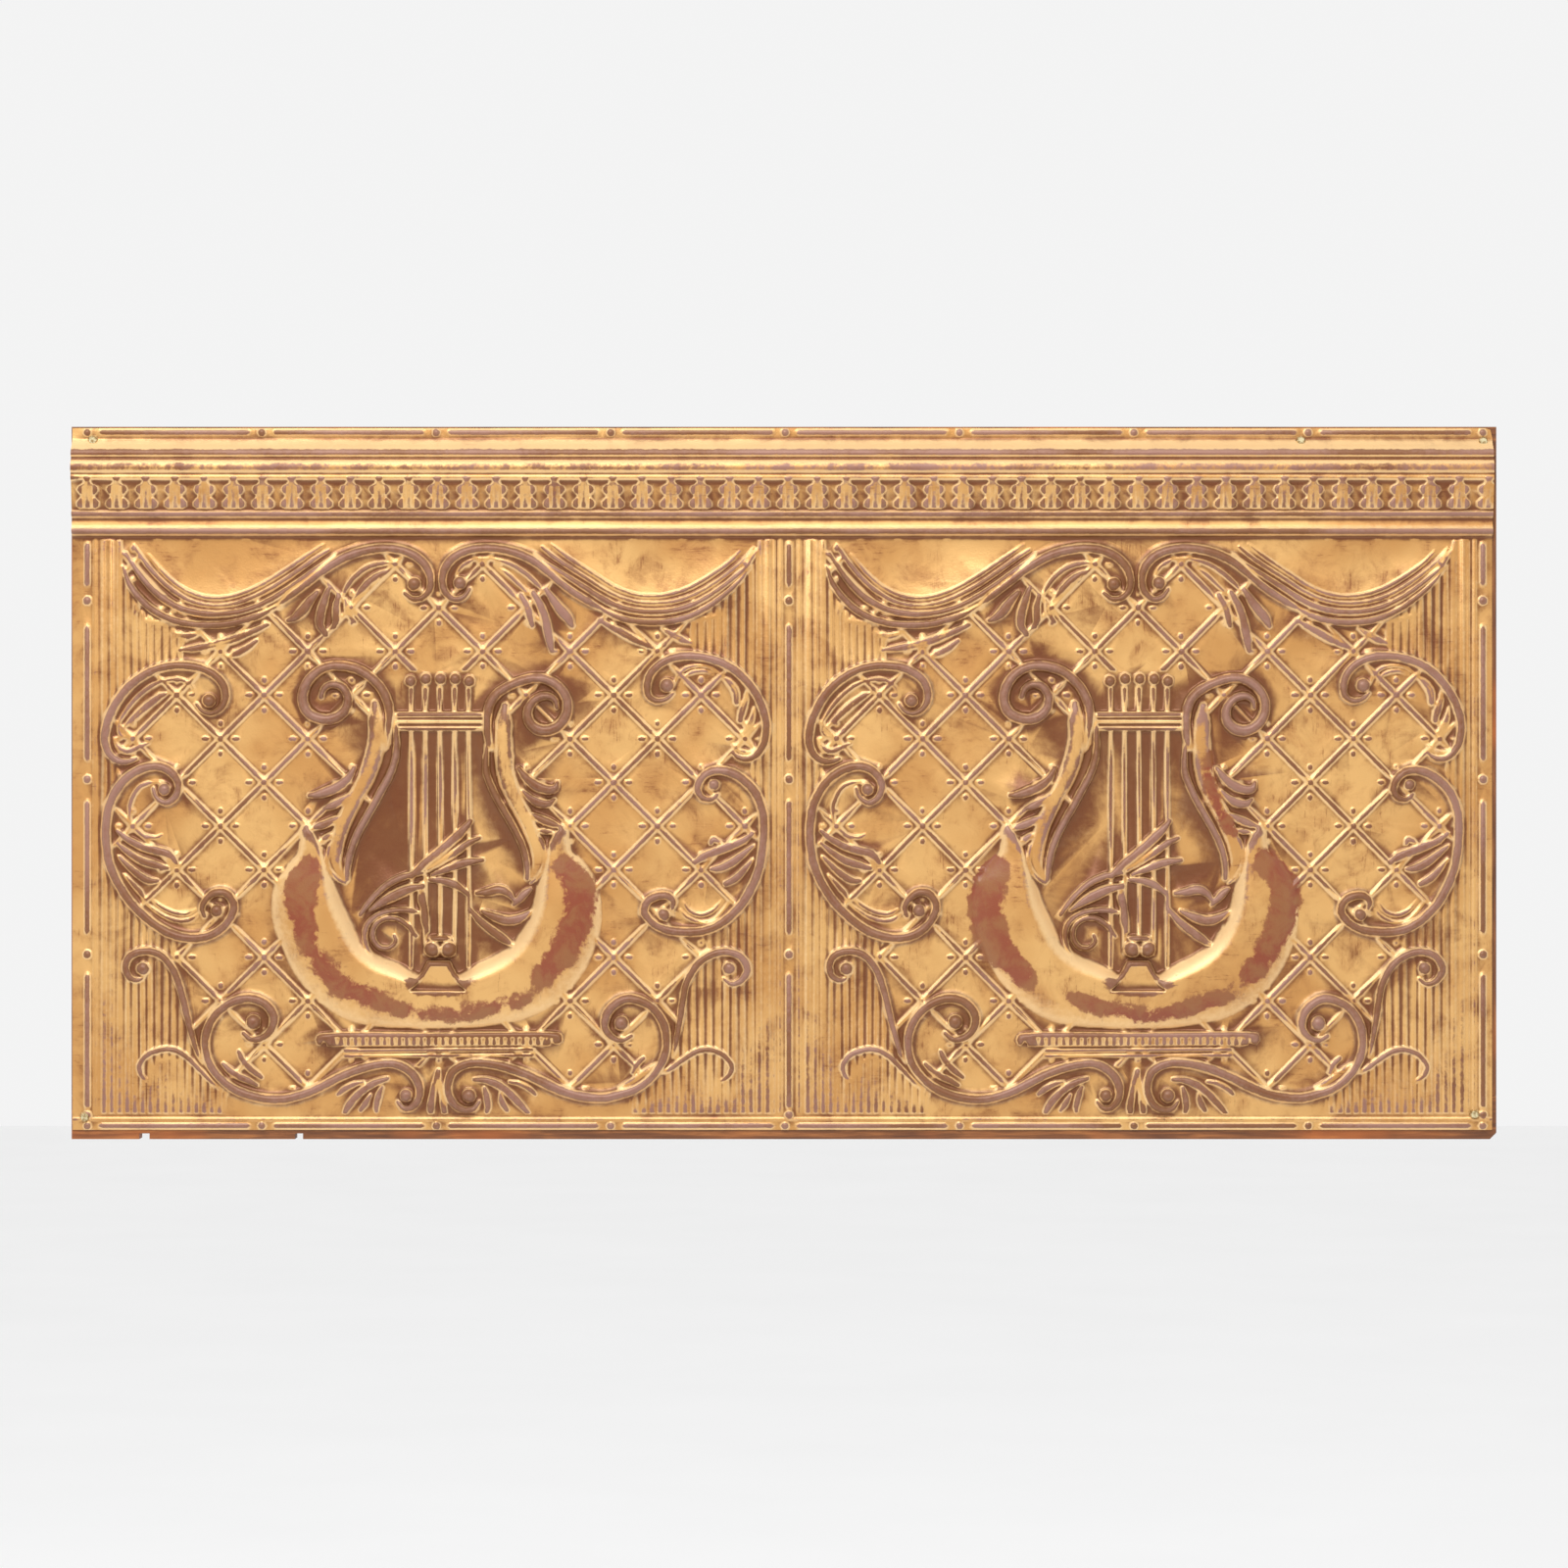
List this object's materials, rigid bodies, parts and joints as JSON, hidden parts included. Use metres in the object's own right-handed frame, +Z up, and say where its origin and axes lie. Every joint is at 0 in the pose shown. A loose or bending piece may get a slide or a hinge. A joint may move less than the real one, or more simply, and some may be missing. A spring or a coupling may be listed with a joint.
{
  "type": "stamped metal frieze panel",
  "caption": "Wide gilded pressed-tin frieze panel with lyres, scrolls, swags and lattice under a leafed cornice, on a batten frame.",
  "frame": {"origin": "middle of the top rail's back face, where the panel is hung", "axes": "+X along the panel to the viewer's right, +Y into the wall, +Z up"},
  "size_m": [1.2528, 0.0343, 0.6264],
  "materials": {
    "gilt_tin": "worn gold paint over red-brown primer, satin",
    "batten_wood": "stained softwood, matt",
    "screw_steel": "zinc-plated, dulled"
  },
  "bodies": {
    "root": {"top_rail": "batten_wood", "bottom_rail": "batten_wood", "left_stile": "batten_wood", "right_stile": "batten_wood", "tin_sheet": "gilt_tin", "screw_top_left": "screw_steel", "screw_top_right": "screw_steel", "screw_top_mid_right": "screw_steel", "screw_bottom_left": "screw_steel", "screw_bottom_right": "screw_steel"}
  },
  "joints": []
}
